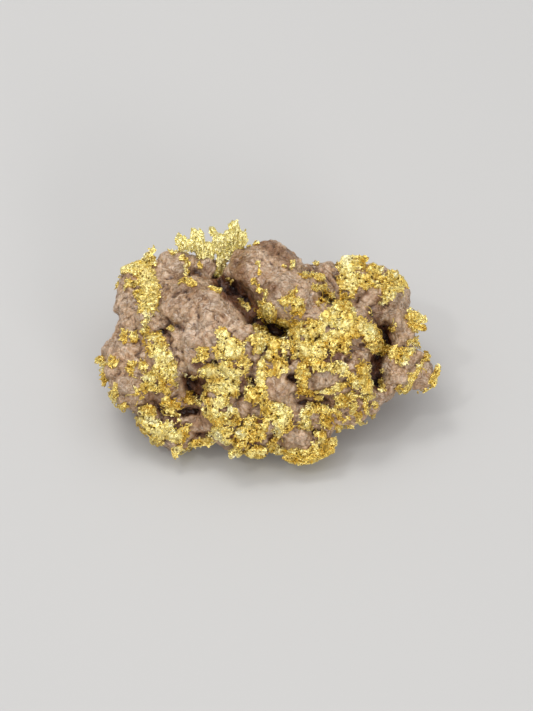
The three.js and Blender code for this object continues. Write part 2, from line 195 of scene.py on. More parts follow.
def random_ways(rng, count):
    return unit(rng.normal(size=(count, 3)))


def mostly_small(rng, count, least, spread):
    return least + spread * rng.random(count) ** 2


# Mesh arrays

def sides_of(triangles):
    """The ends of all first sides, then of all second and all third ones."""
    return np.concatenate([triangles[:, [0, 1]], triangles[:, [1, 2]], triangles[:, [2, 0]]])


def edges_of(triangles):
    return np.unique(np.sort(sides_of(triangles), axis=1), axis=0)


def outward(points, triangles):
    """A vector out of each triangle, twice as long as its area."""
    a, b, c = (points[triangles[:, k]] for k in range(3))
    return np.cross(b - a, c - a)


def corner_sums(values, triangles, count):
    """For each point, the sum of its triangles' values."""
    return sum(np.bincount(triangles[:, k], values, count) for k in range(3))


def corner_normals(points, triangles):
    facing = outward(points, triangles)
    return unit(np.stack([corner_sums(facing[:, axis], triangles, len(points)) for axis in range(3)], axis=1))


def softened(points, edges, rounds):
    """Points moved half way to the middle of their neighbours, some times over."""
    starts, ends = edges.T
    neighbours = np.maximum(np.bincount(edges.ravel(), minlength=len(points)), 1)[:, None]
    for _ in range(rounds):
        sums = [
            np.bincount(starts, points[ends, axis], len(points))
            + np.bincount(ends, points[starts, axis], len(points))
            for axis in range(3)
        ]
        points = (points + np.stack(sums, axis=1) / neighbours) / 2
    return points


def subdivided(points, triangles):
    """Each triangle parted into four at the middles of its sides."""
    unique, inverse = np.unique(np.sort(sides_of(triangles), axis=1), axis=0, return_inverse=True)
    ab, bc, ca = len(points) + inverse.reshape(3, -1)
    a, b, c = triangles.T
    parts = [(a, ab, ca), (ab, b, bc), (ca, bc, c), (ab, bc, ca)]
    return (
        np.concatenate([points, points[unique].mean(axis=1)]),
        np.concatenate([np.stack(part, axis=1) for part in parts]),
    )


def merged(parts):
    points, triangles, start = [], [], 0
    for part_points, part_triangles in parts:
        points.append(part_points)
        triangles.append(part_triangles + start)
        start += len(part_points)
    return np.concatenate(points), np.concatenate(triangles)


def placed(name, data):
    made = bpy.data.objects.new(name, data)
    bpy.context.scene.collection.objects.link(made)
    return made


def mesh_arrays(mesh):
    mesh.calc_loop_triangles()
    points = np.zeros(len(mesh.vertices) * 3)
    mesh.vertices.foreach_get("co", points)
    triangles = np.zeros(len(mesh.loop_triangles) * 3, np.int32)
    mesh.loop_triangles.foreach_get("vertices", triangles)
    return points.reshape(-1, 3), triangles.reshape(-1, 3)


def cad_arrays(node):
    """A CAD node's points in millimetres, and its triangles."""
    points, triangles = mesh_arrays(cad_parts[node].data)
    return points / MM, triangles


def remeshed(points, triangles, step):
    """The same form as an even mesh."""
    mesh = bpy.data.meshes.new("work")
    mesh.from_pydata(points.tolist(), [], triangles.tolist())
    work = placed("work", mesh)
    modifier = work.modifiers.new("remesh", "REMESH")
    modifier.mode = "VOXEL"
    modifier.voxel_size = step
    graph = bpy.context.evaluated_depsgraph_get()
    result = bpy.data.meshes.new_from_object(work.evaluated_get(graph))
    bpy.data.objects.remove(work)
    points, triangles = mesh_arrays(result)
    bpy.data.meshes.remove(result)
    return points, triangles


def tree_of(points, triangles):
    return BVHTree.FromPolygons([Vector(point) for point in points], triangles.tolist())


def relief_of(points, triangles, edges, rounds, span=1.5):
    """0.5 on an even face, towards 1 on ridges and towards 0 in creases. More rounds see broader forms."""
    away = dots(points - softened(points, edges, rounds), corner_normals(points, triangles))
    return 0.5 + 0.5 * np.tanh(away / (span * away.std()))


def make_piece(name, points, triangles, slot, attributes, smooth=False):
    mesh = bpy.data.meshes.new(name)
    mesh.vertices.add(len(points))
    mesh.vertices.foreach_set("co", (points * MM).astype(np.float32).ravel())
    mesh.loops.add(triangles.size)
    mesh.loops.foreach_set("vertex_index", triangles.astype(np.int32).ravel())
    mesh.polygons.add(len(triangles))
    mesh.polygons.foreach_set("loop_start", np.arange(0, triangles.size, 3, dtype=np.int32))
    mesh.update(calc_edges=True)
    mesh.polygons.foreach_set("use_smooth", np.full(len(triangles), smooth))
    for key, values in attributes.items():
        layer = mesh.attributes.new(key, "FLOAT", "POINT")
        layer.data.foreach_set("value", values.astype(np.float32))
    mesh.materials.append(MATERIALS[slot])
    piece = placed(name, mesh)
    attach(piece, "root")
    return piece


# Materials

def linear(red, green, blue):
    """A colour given as seen, from 0 to 255, as the shader takes it."""
    return tuple(((c / 255 + 0.055) / 1.055) ** 2.4 for c in (red, green, blue))


class Shader:
    """A new material and short ways to add nodes to it, with sizes in millimetres and colours as seen."""

    def __init__(self, name):
        self.material = bpy.data.materials.new(name)
        self.material.use_nodes = True
        self.tree = self.material.node_tree

    def finished(self, **inputs):
        """The material, with its surface's sockets set."""
        for key, value in inputs.items():
            self.set(self.tree.nodes["Principled BSDF"], key.replace("_", " "), value)
        return self.material

    def node(self, kind, settings=None, **inputs):
        made = self.tree.nodes.new(kind)
        for key, value in (settings or {}).items():
            setattr(made, key, value)
        for key, value in inputs.items():
            self.set(made, key, value)
        return made

    def set(self, node, key, value):
        """Link or set a socket, which is named by its label or by # and its number."""
        socket = node.inputs[int(key[1:])] if key[0] == "#" else node.inputs[key]
        if isinstance(value, bpy.types.NodeSocket):
            self.tree.links.new(value, socket)
        else:
            socket.default_value = value

    def position(self):
        return self.node("ShaderNodeTexCoord").outputs["Object"]

    def noise(self, size, detail=3.0, roughness=0.55, swirl=0.0):
        made = self.node("ShaderNodeTexNoise", Vector=self.position(), Scale=1 / (size * MM), Detail=detail,
                         Roughness=roughness, Distortion=swirl)
        return made.outputs["Fac"]

    def cracks(self, size, wander):
        """The distance to the nearest border between cells of the given size, with the borders wandering."""
        shift = self.node("ShaderNodeTexNoise", Vector=self.position(), Scale=2 / (size * MM), Detail=2.0)
        moved = self.node("ShaderNodeVectorMath", {"operation": "MULTIPLY_ADD"})
        self.set(moved, "#0", shift.outputs["Color"])
        self.set(moved, "#1", (wander * size * MM,) * 3)
        self.set(moved, "#2", self.position())
        made = self.node("ShaderNodeTexVoronoi", {"feature": "DISTANCE_TO_EDGE"}, Scale=1 / (size * MM),
                         Vector=moved.outputs["Vector"])
        return made.outputs["Distance"]

    def attribute(self, name):
        return self.node("ShaderNodeAttribute", {"attribute_name": name}).outputs["Fac"]

    def ramp(self, factor, stops):
        """Colours or plain values that change with a factor. A stop is its place and its colour or value."""
        made = self.node("ShaderNodeValToRGB")
        self.set(made, "Fac", factor)
        elements = made.color_ramp.elements
        while len(elements) < len(stops):
            elements.new(0.5)
        for element, (place, colour) in zip(elements, stops):
            element.position = place
            element.color = (*linear(*colour), 1) if isinstance(colour, tuple) else (*(colour,) * 3, 1)
        return made.outputs["Color"]

    def mix(self, factor, first, second, blend="MIX"):
        made = self.node("ShaderNodeMix", {"data_type": "RGBA", "blend_type": blend})
        self.set(made, "#0", factor)
        for socket, value in (("#6", first), ("#7", second)):
            self.set(made, socket, (*linear(*value), 1) if isinstance(value, tuple) else value)
        return made.outputs[2]

    def math(self, operation, *values):
        made = self.node("ShaderNodeMath", {"operation": operation})
        for place, value in enumerate(values):
            self.set(made, f"#{place}", value)
        return made.outputs[0]

    def bump(self, height, depth, strength, normal=None):
        made = self.node("ShaderNodeBump", Strength=strength, Distance=depth * MM, Height=height)
        if normal:
            self.set(made, "Normal", normal)
        return made.outputs["Normal"]


def quartz_material():
    shader = Shader("brown_quartz")
    broad = shader.ramp(shader.noise(2.2, 3.0), [
        (0.36, (140, 104, 72)), (0.5, (180, 144, 108)), (0.64, (200, 168, 138)),
    ])
    swirls = shader.ramp(shader.noise(0.55, 4.0, 0.65, 1.6), [
        (0.32, (122, 84, 54)), (0.48, (176, 140, 104)), (0.58, (208, 176, 142)),
        (0.7, (230, 208, 182)),
    ])
    crystal_tint = shader.ramp(shader.attribute("tint"), [(0.1, 0.66), (0.5, 1.0), (0.9, 1.2)])
    colour = shader.mix(1.0, shader.mix(0.6, broad, swirls), crystal_tint, "MULTIPLY")

    rust = shader.ramp(shader.noise(1.3, 4.0, 0.65), [(0.5, 0.0), (0.7, 0.55)])
    patchy = shader.ramp(shader.noise(0.8, 3.0, 0.6), [(0.38, 0.1), (0.6, 1.0)])
    # Pale wispy streaks: partly the rock's own pale lines, partly painted highlights on the grain edges
    wisps_and_highlights = shader.ramp(shader.noise(0.7, 2.5, 0.6, 1.4), [(0.44, 0.0), (0.5, 0.7), (0.55, 0.0)])
    edge = shader.cracks(0.5, 1.2)
    # Painted shade: dark lines in the creases between the crystal domes that the bump below raises
    gaps = shader.ramp(edge, [(0.0, 0.4), (0.07, 0.0)])
    specks = shader.ramp(shader.noise(0.18, 3.0, 0.7), [(0.28, 0.6), (0.38, 0.0)])
    # Painted highlight on the ridges and painted shade in the creases, from the relief
    ridges = shader.ramp(shader.attribute("relief"), [(0.62, 0.0), (1.0, 0.3)])
    creases = shader.ramp(shader.attribute("relief"), [(0.03, 0.8), (0.3, 0.0)])
    for share, tone in (
        (rust, (160, 110, 66)),
        (shader.math("MULTIPLY", wisps_and_highlights, patchy), (230, 210, 188)),
        (shader.math("MULTIPLY", gaps, patchy), (100, 68, 46)),
        (specks, (92, 62, 42)),
        (ridges, (226, 202, 178)),
        (creases, (86, 58, 42)),
    ):
        colour = shader.mix(share, colour, tone)

    # Painted shade: darker in the hollows, in the pits and the gaps of thick crusts, and browner where the
    # rock is shaded
    for attribute, stops in (
        ("hollow_shade", [(0.05, (142, 112, 94)), (0.4, WHITE)]),
        ("pit_and_gap_shade", [(0.1, WHITE), (0.8, (160, 130, 116))]),
        ("brown_shade", [(0.0, WHITE), (1.0, (196, 178, 160))]),
    ):
        colour = shader.mix(1.0, colour, shader.ramp(shader.attribute(attribute), stops), "MULTIPLY")
    domes = shader.bump(shader.ramp(edge, [(0.0, 0.0), (0.14, 0.7), (0.45, 1.0)]), 0.07, 0.9)
    return shader.finished(
        Base_Color=colour,
        Roughness=shader.ramp(shader.noise(0.35, 4.0, 0.6), [(0.35, 0.22), (0.7, 0.5)]),
        IOR=1.545,
        Subsurface_Weight=0.15,
        Subsurface_Radius=(1.0, 0.6, 0.4),
        Subsurface_Scale=0.2 * MM,
        Normal=shader.bump(shader.noise(0.12, 3.0, 0.65), 0.03, 0.8, domes),
    )


def gold_material():
    shader = Shader("leaf_gold")
    tone = shader.ramp(shader.noise(0.9, 3.0), [
        (0.35, (236, 202, 98)), (0.55, (253, 234, 150)), (0.7, (255, 248, 200)),
    ])
    sheet = shader.attribute("sheet")
    # Painted sheen: the smooth sheets are given a paler, brighter gold
    tone = shader.mix(shader.math("MULTIPLY", sheet, 0.6), tone, (255, 244, 178))
    # Painted shade in the creases of the crumpled gold
    low = shader.ramp(shader.attribute("relief"), [(0.12, 1.0), (0.5, 0.0)])
    colour = shader.mix(low, tone, (116, 76, 18))
    # Painted shade: fine dark specks for the shade in the gold's tiny gaps, fewer on the sheets
    shade_specks = shader.ramp(shader.noise(0.12, 3.0, 0.7), [(0.34, 0.8), (0.44, 0.0)])
    off_sheets = shader.math("MULTIPLY_ADD", sheet, -0.6, 1.0)
    colour = shader.mix(shader.math("MULTIPLY", shade_specks, off_sheets), colour, (140, 98, 32))
    # Painted shade in the hollows
    shade = shader.ramp(shader.attribute("hollow_shade"), [(0.1, (140, 108, 66)), (0.5, WHITE)])
    colour = shader.mix(1.0, colour, shade, "MULTIPLY")
    return shader.finished(
        Base_Color=colour,
        Metallic=1.0,
        Roughness=shader.ramp(shader.noise(0.3, 3.0), [(0.3, 0.2), (0.7, 0.42)]),
        Normal=shader.bump(shader.noise(0.09, 3.0, 0.7), 0.05, 0.9),
    )


MATERIALS = {"quartz": quartz_material(), "gold": gold_material()}  # by material slot


# Quartz

ROUGH_STEP = 0.14  # distance between the mesh's points while the rock's broad form is made
QUARTZ_STEP = 0.09  # and in the finished mesh
CLOSED_GAP = 0.4  # gaps up to twice this wide are closed up
TURNED_AWAY = 0.4  # how far a face may look away from the viewer and still be taken as seen
THICK_CRUST = 0.8  # crusts with lumps as thick as this get painted shadow on the rock in their gaps
# The three sorts of crystals: their sizes and how far they stand out
BLOCK, KNOB, GRAIN = 1.9, 0.9, 0.4
BLOCK_RISE, KNOB_RISE, GRAIN_RISE = 0.4, 0.36, 0.24
MEAN_DISTANCE = 0.42  # usual distance from a crystal's middle, as a share of its size

# Hollows seen in the picture, sunk into the rock and darkened with painted shade: depth in millimetres, then
# the stroke
PITS = [
    (0.4, 7, 208, 268), (1.2, 8, 219, 281, 230, 289), (1.6, 12, 230, 289, 244, 301, 256, 315),
    (2.2, 12, 262, 321, 272, 328, 282, 332), (0.9, 5, 286, 326, 293, 327),
    (0.9, 11, 190, 380, 198, 384, 196, 394), (0.6, 5, 181, 412, 196, 412), (0.5, 6, 200, 434, 208, 435),
    (0.5, 4, 153, 401, 162, 412, 163, 420), (0.5, 3, 155, 334, 166, 333, 170, 335), (0.5, 3, 136, 331),
    (0.2, 4, 171, 276, 176, 276), (0.3, 3, 160, 296, 160, 306), (0.6, 3, 240, 357), (0.3, 4, 229, 359),
    (0.35, 5, 208, 362, 216, 362), (0.6, 5, 251, 379, 252, 386), (0.4, 4, 252, 362, 252, 370),
    (0.5, 4, 264, 347, 261, 354), (0.8, 5, 290, 378, 296, 380), (0.5, 4, 240, 394, 236, 405),
    (0.5, 3, 241, 424, 250, 411, 258, 405), (0.4, 3, 276, 418), (0.4, 3, 275, 430),
    (0.5, 4, 302, 403, 315, 402, 325, 400), (0.5, 3, 287, 358, 287, 366), (0.4, 3, 313, 340, 320, 337),
    (0.4, 2, 326, 327), (0.5, 2, 337, 315, 339, 321), (0.6, 3, 321, 294, 330, 304, 333, 313),
    (0.4, 2, 352, 327), (0.4, 2, 305, 361), (0.4, 3, 357, 374), (0.6, 3, 356, 302, 366, 293),
    (1.2, 7, 384, 330, 388, 346), (1.1, 8, 379, 354, 374, 366, 376, 382), (0.4, 3, 344, 393, 352, 391),
    (0.35, 2, 411, 370, 424, 358, 429, 352), (0.3, 2, 404, 352, 412, 350),
    (0.3, 4, 346, 360, 356, 350, 363, 345),
]

# Rounded crystals that stand out of the rock: height in millimetres, then the stroke
LUMPS = [
    (0.8, 9, 207, 268, 218, 275), (0.3, 9, 166, 254), (0.3, 8, 181, 262), (0.35, 10, 170, 312),
    (0.3, 9, 189, 338), (0.25, 8, 214, 302), (0.3, 9, 206, 322), (0.3, 10, 283, 288), (0.25, 7, 246, 270),
    (0.3, 8, 389, 296), (0.35, 9, 397, 322), (0.3, 8, 380, 312), (0.25, 7, 122, 305), (0.3, 9, 124, 384),
    (0.25, 8, 107, 372), (0.3, 7, 146, 318), (0.3, 8, 300, 436), (0.3, 8, 352, 404), (0.3, 9, 400, 378),
]

# Parts of the rock darkened and browned with painted shade
BROWN_SHADE = [
    (8, 238, 262, 242, 284), (7, 262, 240, 290, 262), (5, 176, 276, 196, 290), (8, 270, 290, 258, 296),
    (7, 148, 398, 158, 408), (8, 190, 404, 200, 420), (8, 384, 300, 372, 318), (8, 352, 400, 330, 404),
]


def in_view(points, normals, tree, over, reach=12.0):
    """The numbers of the points that show in the display view from a little way over the face."""
    facing = np.flatnonzero(normals @ TOWARDS > -TURNED_AWAY)
    way = Vector(TOWARDS)
    shows = [tree.ray_cast(Vector(points[i] + over * normals[i]), way, reach)[0] is None for i in facing]
    return facing[np.array(shows)]


def pit_share(points, seen, wander=2.0):
    """How much painted shade each point gets in the hollows, from 0 to 1, and how deep they sink it."""
    places = in_picture(points[seen]) + wander * wandering(points[seen], 0.4, 45, 2)
    dark, depth = np.zeros(len(points)), np.zeros(len(points))
    for deep, *stroke in PITS:
        share = coverage(places, [stroke], 0.6 * stroke[0], 0.3)
        dark[seen] = np.maximum(dark[seen], share * min(1, deep))
        depth[seen] = np.maximum(depth[seen], deep * share)
    return dark, depth


def carved(points, triangles):
    """The rock with the dark hollows sunk into it and the rounded crystals raised."""
    normals = corner_normals(points, triangles)
    seen = in_view(points, normals, tree_of(points, triangles), over=0.4)
    _, depth = pit_share(points, seen)
    places = in_picture(points[seen])
    front = np.clip(normals[seen] @ TOWARDS + TURNED_AWAY, 0, 1)
    rise = np.zeros(len(points))
    for high, *stroke in LUMPS:
        share = coverage(places, [stroke], 0.8 * stroke[0], 0.2)
        rise[seen] = np.maximum(rise[seen], high * share * front)
    return points - depth[:, None] * (0.8 * TOWARDS + 0.2 * normals) + rise[:, None] * normals


def closed_up(points, triangles):
    """The same form with its narrow gaps closed: grown, meshed again and shrunk back."""
    points = softened(points, edges_of(triangles), 2)
    grown = points + CLOSED_GAP * corner_normals(points, triangles)
    points, triangles = remeshed(grown, triangles, ROUGH_STEP)
    points = softened(points, edges_of(triangles), 2)
    return points - CLOSED_GAP * corner_normals(points, triangles), triangles


def crystal_heights(points):
    """How far the crystals stand out at each point, and a tint for each crystal from 0 to 1."""
    bent = points + 0.2 * wandering(points, 0.8, 40)
    block, _ = crystal_cells(bent, BLOCK, 111)
    knob, knob_own = crystal_cells(bent, KNOB, 121)
    grain, grain_own = crystal_cells(points, GRAIN, 131)
    patch = np.clip(0.6 + 0.9 * smooth_noise(points, 1.6, 141), 0.15, 1.3)
    height = BLOCK_RISE * (MEAN_DISTANCE - block)
    height += KNOB_RISE * (MEAN_DISTANCE - knob) * (0.4 + knob_own)
    height += GRAIN_RISE * (MEAN_DISTANCE - grain) * (0.5 + grain_own) * patch
    height += 0.12 * layered_noise(points, 1.5, 51)
    height += 0.04 * smooth_noise(points, 0.2, 61)
    return height, 0.6 * grain_own + 0.4 * knob_own


def rock_form():
    """The rock's points and triangles, and the tint of the crystal at each point."""
    points, triangles = closed_up(*remeshed(*cad_arrays("quartz_matrix"), ROUGH_STEP))
    edges = edges_of(triangles)
    points = softened(carved(softened(points, edges, 4), triangles), edges, 2)
    points, triangles = remeshed(points, triangles, QUARTZ_STEP)
    points = softened(points, edges_of(triangles), 4)
    height, tint = crystal_heights(points)
    points = points + height[:, None] * corner_normals(points, triangles)
    points[:, 2] = np.maximum(points[:, 2], 0)
    return points, triangles, tint


def rock_painted_shade(points, seen):
    """How much painted shade each point gets, from 0 to 1: painted shade in the hollows and painted shadow in
    the gaps of thick crusts, and how much browner painted shade it gets.
    """
    places = in_picture(points[seen])
    thick = sum((strokes for thickness, strokes in CRUSTS.values() if thickness >= THICK_CRUST), [])
    gaps = np.minimum(coverage(places, thick, 4), 1 - coverage(places, BARE, 4))
    dark, _ = pit_share(points, seen)
    dark[seen] = np.maximum(dark[seen], 0.9 * gaps)
    brown_shade = np.zeros(len(points))
    brown_shade[seen] = coverage(places, BROWN_SHADE, 8)
    return dark, brown_shade


def quartz_rock():
    """The rock's own piece, and its faces for the gold to lie on."""
    points, triangles, tint = rock_form()
    tree = tree_of(points, triangles)
    dark, brown_shade = rock_painted_shade(points, in_view(points, corner_normals(points, triangles), tree, over=0.3))
    edges = edges_of(triangles)
    # Relief and the shades below drive painted highlight and painted shade in the material
    piece = make_piece("quartz_rock", points, triangles, "quartz", {
        "relief": relief_of(points, triangles, edges, 5),
        "hollow_shade": relief_of(points, triangles, edges, 80),
        "tint": tint,
        "pit_and_gap_shade": dark,
        "brown_shade": brown_shade,
    }, smooth=True)
    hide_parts("quartz_matrix")
    return {
        "points": points,
        "triangles": triangles,
        "centres": points[triangles].mean(axis=1),
        "facing": unit(outward(points, triangles)),
        "tree": tree,
    }


# Gold crusts

OUTSIDE = -9.0  # depth of the faces that are far outside a crust

# Each crust that shows in the picture: how thick its lumps are as a share of the most, and its strokes
CRUSTS = {
    "gold_shoulder_crust": (0.6, [
        (8, 120, 268, 130, 272, 146, 272), (5, 115, 272, 112, 277), (5, 128, 262, 124, 264),
        (7, 132, 279, 138, 279), (9, 148, 278, 150, 292, 150, 302), (7, 148, 308, 150, 311),
        (2.2, 140, 262, 147, 256, 154, 249), (3, 145, 264, 154, 265), (2, 138, 291, 139, 297),
    ]),
    "gold_left_blade": (0.5, [
        (4, 134, 339), (5, 148, 340, 160, 340), (9, 158, 350, 163, 358, 167, 366), (4, 156, 368, 153, 374),
        (4, 172, 374, 174, 382), (4, 163, 376, 150, 378, 141, 386), (6, 140, 392), (6, 152, 384, 160, 384),
        (3, 131, 365, 132, 371), (3, 140, 366, 145, 366), (3, 144, 323), (3, 146, 331), (2, 155, 326),
        (1.5, 173, 329), (3, 168, 390),
    ]),
    "gold_left_patch": (0.5, [
        (2.5, 113, 292), (3.5, 124, 333, 124, 342), (2.5, 97, 360, 101, 360), (5, 110, 366, 113, 363),
        (2.5, 103, 374, 103, 383), (2, 116, 386, 116, 398), (3, 110, 403, 114, 402), (4, 113, 413),
        (3, 123, 405),
    ]),
    "gold_left_border": (0.8, [
        (5, 124, 415, 136, 420), (3, 134, 425), (7, 147, 411, 150, 422, 158, 430), (9, 160, 432, 178, 432),
        (5, 170, 412, 176, 424), (4, 186, 425, 184, 436), (4, 166, 402, 176, 406), (3, 188, 399, 197, 402),
        (3, 144, 430, 146, 433), (1.6, 174, 457, 178, 451), (1.6, 180, 451, 190, 449, 198, 452),
        (2, 192, 444, 203, 442, 212, 444), (2, 209, 440),
    ]),
    "gold_centre_drape": (1.0, [
        (7, 224, 335, 230, 344), (9, 222, 350, 236, 348), (5, 204, 352, 203, 358), (4, 195, 363, 204, 370),
        (8, 214, 370, 234, 371), (5, 244, 360, 242, 370), (6, 250, 341, 261, 340), (4, 252, 352, 256, 350),
        (3, 257, 330, 264, 332), (4.5, 261, 362, 261, 380, 261, 396), (10, 217, 388, 232, 386),
        (5, 250, 392, 253, 399), (8, 212, 398, 222, 402), (8, 211, 412, 220, 418), (7, 232, 412, 234, 418),
        (7, 218, 430, 228, 436), (9, 240, 438, 258, 434), (7, 250, 422, 262, 424), (3, 238, 448, 231, 457),
        (6, 252, 450, 260, 450), (3, 245, 380, 243, 384), (12, 276, 411, 282, 418), (6, 268, 404, 268, 412),
        (6, 278, 430, 288, 428), (4, 272, 440),
    ]),
    "gold_right_mantle": (1.0, [
        (5, 272, 344, 286, 344), (7, 272, 356, 280, 352), (5, 277, 362, 281, 368), (8, 300, 334, 316, 330),
        (10, 300, 350, 322, 346, 336, 340), (9, 330, 320, 346, 318), (9, 352, 326, 368, 332),
        (6, 374, 340, 374, 346), (9, 338, 352, 342, 338), (9, 308, 366, 326, 362, 338, 364),
        (5, 300, 374, 302, 390), (4, 306, 394, 318, 394), (3, 322, 391, 338, 388, 350, 382),
        (4, 344, 372, 352, 380), (4, 356, 384, 364, 380, 366, 388), (3, 338, 398, 350, 396),
        (3, 350, 310, 346, 304), (3, 270, 372, 278, 374), (3, 294, 386, 290, 386), (3, 360, 366, 364, 372),
    ]),
    "gold_right_crest": (0.7, [
        (8, 346, 266, 356, 264), (9, 346, 282, 358, 280), (7, 344, 294, 352, 292), (6, 372, 274, 384, 278),
        (5, 366, 284, 378, 284), (5, 392, 278, 398, 285), (3, 384, 290, 386, 298), (4, 340, 302, 338, 308),
        (2, 391, 292, 391, 297), (1.6, 382, 302, 374, 308, 369, 313), (2, 314, 258, 317, 264),
        (1.5, 301, 277, 312, 277, 322, 278), (1.5, 312, 287, 322, 288, 332, 296), (6, 370, 278, 398, 284),
        (1.6, 334, 258, 336, 257),
    ]),
    "gold_tip_rim": (0.6, [
        (5, 411, 316, 416, 320), (3, 410, 324, 414, 329), (5, 420, 338, 430, 347), (3.5, 412, 342, 424, 343),
        (3, 431, 350, 434, 358), (5, 392, 355, 402, 360), (3, 387, 351, 408, 352), (2.5, 393, 320, 394, 328),
        (2, 404, 390, 412, 378, 420, 368, 428, 356, 431, 349), (2.5, 432, 384, 437, 372, 439, 360),
        (1.4, 414, 393, 426, 391), (1.4, 384, 352, 384, 372, 381, 390), (2, 395, 382, 399, 386),
    ]),
    "gold_foot_lace": (0.8, [
        (4, 305, 412, 304, 426), (4, 308, 408, 318, 408), (5, 326, 410, 327, 424), (6, 322, 438, 326, 446),
        (8, 314, 452, 322, 455), (8, 296, 457, 304, 457), (5, 280, 452, 286, 455), (3, 272, 447, 276, 450),
        (2, 333, 442), (3, 312, 424, 316, 432),
    ]),
    "gold_shelf_lace": (0.5, [
        (1.8, 334, 410, 342, 416), (1.8, 338, 405, 346, 403, 356, 406), (2.2, 352, 411, 360, 417),
        (2, 374, 402, 375, 410, 371, 418), (1.6, 336, 427, 350, 427), (1.6, 350, 424, 364, 421),
        (1.6, 350, 400, 360, 396, 370, 398), (1.2, 364, 404, 366, 414), (1.4, 342, 421, 350, 417),
    ]),
    "gold_cleft_flake": (0.5, [
        (6, 264, 310, 271, 312), (3, 262, 305, 268, 304), (4, 284, 302, 292, 298), (5, 296, 303, 298, 309),
        (3.5, 282, 320, 290, 322), (2, 297, 292), (2.5, 310, 322, 300, 326), (3, 318, 302, 322, 305),
    ]),
}

# The specks and thin lines of gold on the quartz
SPECKS = [
    (2.5, 184, 281, 194, 284), (1.5, 211, 288, 219, 292), (2.5, 241, 301, 248, 307), (3, 184, 258, 189, 264),
    (2, 172, 252, 178, 251), (1.5, 185, 266, 186, 274), (3.5, 200, 266), (1.5, 258, 264, 260, 274),
    (1.5, 251, 279, 257, 284, 260, 292), (2, 284, 267), (1.5, 265, 292, 266, 298), (2.5, 257, 239, 266, 234),
    (2, 244, 245, 254, 242), (1.5, 183, 373, 186, 376), (2, 193, 378), (1.3, 293, 264, 291, 267),
    (1.5, 228, 279, 232, 281),
]

# Places inside the crusts where the rock shows
BARE = [
    (4, 210, 362, 217, 362), (3.5, 229, 359), (2.5, 240, 357), (1.2, 235, 366), (1.2, 242, 367),
    (4, 252, 363, 252, 380), (4, 251, 383), (3.5, 265, 347, 261, 355), (2.5, 247, 344, 249, 350),
    (12, 276, 390, 284, 390), (6, 292, 379), (3.5, 241, 396, 240, 402), (4, 236, 405, 241, 410),
    (2, 250, 412, 242, 422), (3, 259, 405, 254, 412), (2, 277, 418), (2, 275, 430), (9, 288, 440, 302, 438),
    (5, 316, 420, 314, 424), (3.5, 287, 360, 288, 366), (2.5, 302, 338), (3, 314, 341, 320, 337),
    (2, 326, 327), (1.6, 337, 315, 339, 321), (1.6, 352, 327), (1.5, 305, 361),
    (5, 346, 360, 354, 352, 362, 346), (4, 316, 381, 321, 378), (3.5, 338, 379, 346, 379), (3, 363, 362),
    (2.5, 365, 273), (4, 412, 366, 419, 354), (8, 394, 378), (2.5, 426, 374, 420, 384), (2.5, 357, 374),
    (3, 146, 368, 140, 376), (2, 152, 343), (2, 143, 396, 139, 388), (3, 157, 406, 163, 418),
    (2, 214, 396, 209, 394), (2, 222, 396), (2, 182, 412), (2, 123, 277, 131, 276), (2, 309, 299, 300, 296),
    (3, 410, 346), (2, 344, 393, 352, 391),
]

# The smooth sheets of gold, which are given a painted sheen
SHEETS = [
    (9, 148, 275, 150, 300), (6, 120, 270, 134, 270), (7, 222, 338, 236, 352), (6, 158, 350, 166, 368),
    (7, 345, 268, 350, 284), (6, 216, 400, 220, 412), (7, 320, 336, 344, 326), (5, 208, 372, 236, 374),
    (4, 261, 345, 261, 380), (6, 362, 326, 370, 334), (6, 276, 408, 284, 418), (5, 212, 388, 228, 388),
    (8, 268, 310), (6, 160, 432, 176, 434), (5, 300, 352, 310, 350),
]

# The crusts on the hidden sides: the thickness of their lumps and the direction that each faces, in degrees
HIDDEN_CRUSTS = {"gold_back_crust": (0.8, 180), "gold_back_ledge": (0.7, 155), "gold_end_crust": (0.7, 240)}
HIDDEN_TILT = math.radians(15)
CRUST_REACH = 1.9  # how far out from the rock's face a CAD crust may lie
CRUST_START = 0.5  # how far inside that face the look for it starts


def inside_crust(node, turn, rock):
    """How far each face of the rock is inside the edge of a CAD crust, and less than nothing outside it."""
    centres = rock["centres"]
    points, triangles = cad_arrays(node)
    tree = tree_of(points, triangles)
    turn = math.radians(turn)
    level = math.cos(HIDDEN_TILT)
    way = np.array([math.sin(turn) * level, -math.cos(turn) * level, math.sin(HIDDEN_TILT)])
    within = (centres > points.min(axis=0) - CRUST_REACH) & (centres < points.max(axis=0) + CRUST_REACH)
    near = np.flatnonzero(np.all(within, axis=1) & (rock["facing"] @ way > -0.35))
    reach = CRUST_REACH + CRUST_START
    starts = centres[near] - CRUST_START * way
    covered = np.array([tree.ray_cast(Vector(start), Vector(way), reach)[0] is not None for start in starts])
    depth = np.full(len(centres), OUTSIDE)
    for under, sign in ((covered, 1.0), (~covered, -1.0)):
        others = near[~under]
        others_tree = KDTree(len(others))
        for i in others:
            others_tree.insert(centres[i], int(i))
        others_tree.balance()
        for i in near[under]:
            depth[i] = sign * others_tree.find(centres[i])[2]
    return depth


def sheet_share(points):
    """How much gold belongs to the bright smooth sheets, from 0 to 1."""
    return coverage(in_picture(points), SHEETS, 6)


def gold_height(points, level, thickness):
    """How far crumpled gold stands over the rock: less near its edge, where the level is low."""
    bent = points + 0.12 * wandering(points, 0.4, 90)
    lump, _ = crystal_cells(bent, 0.8, 181)
    knob, own = crystal_cells(bent, 0.34, 182)
    wires = ridged_noise(bent, 0.3, 84) ** 2
    rough = 1 - 0.6 * sheet_share(points)
    height = 0.3 * thickness * np.clip(0.62 - lump, 0, 1)
    height += 0.16 * np.clip(0.5 - knob, -0.2, 1) * (0.4 + 1.2 * own) * rough
    height += 0.24 * (wires - 0.3) * rough
    height += 0.06 * smooth_noise(points, 0.1, 88)
    return np.maximum(0.06 + height * np.clip(0.35 + level / 0.25, 0, 1), 0.02)


